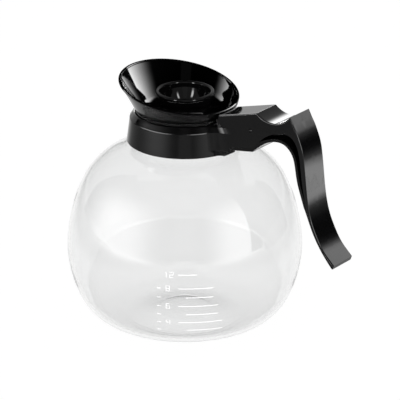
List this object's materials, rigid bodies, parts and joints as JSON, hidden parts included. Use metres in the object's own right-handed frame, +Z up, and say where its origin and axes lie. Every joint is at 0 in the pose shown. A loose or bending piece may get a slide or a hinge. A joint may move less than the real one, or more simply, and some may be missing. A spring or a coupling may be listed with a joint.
{
  "type": "coffee decanter",
  "caption": "Round glass coffee decanter with a clamped plastic collar and handle, a tilted pouring funnel that lifts off and a lift-out brew cup.",
  "frame": {"origin": "centre of the circular foot of the glass, in the plane it stands on", "axes": "+Z up along the axis of the glass, +X towards the handle, -X towards the pouring side"},
  "size_m": [0.2065, 0.1578, 0.1706],
  "materials": {
    "clear_glass": "clear blown borosilicate glass, with white printed level marks",
    "black_plastic": "high-gloss black injection-moulded plastic",
    "stainless": "plain stainless steel",
    "silicone": "matt food-grade silicone"
  },
  "bodies": {
    "decanter": {"glass_bowl": "clear_glass", "handle_body": "black_plastic", "inner_cover": "black_plastic", "screw_plug": "black_plastic", "clamp_band": "stainless", "clamp_screw": "stainless", "clamp_washer": "stainless", "clamp_nut": "stainless", "cover_screws": "stainless", "neck_sleeve": "silicone"},
    "funnel": {"pour_funnel": "black_plastic", "funnel_seal": "silicone"},
    "cup": {"brew_cup": "black_plastic"}
  },
  "joints": [
    {"name": "funnel_lift", "type": "slide", "parent": "decanter", "child": "funnel", "axis": [0, 0, 1], "range_m": [0, 0.06]},
    {"name": "cup_lift", "type": "slide", "parent": "funnel", "child": "cup", "axis": [0, 0, 1], "range_m": [0, 0.045]}
  ]
}
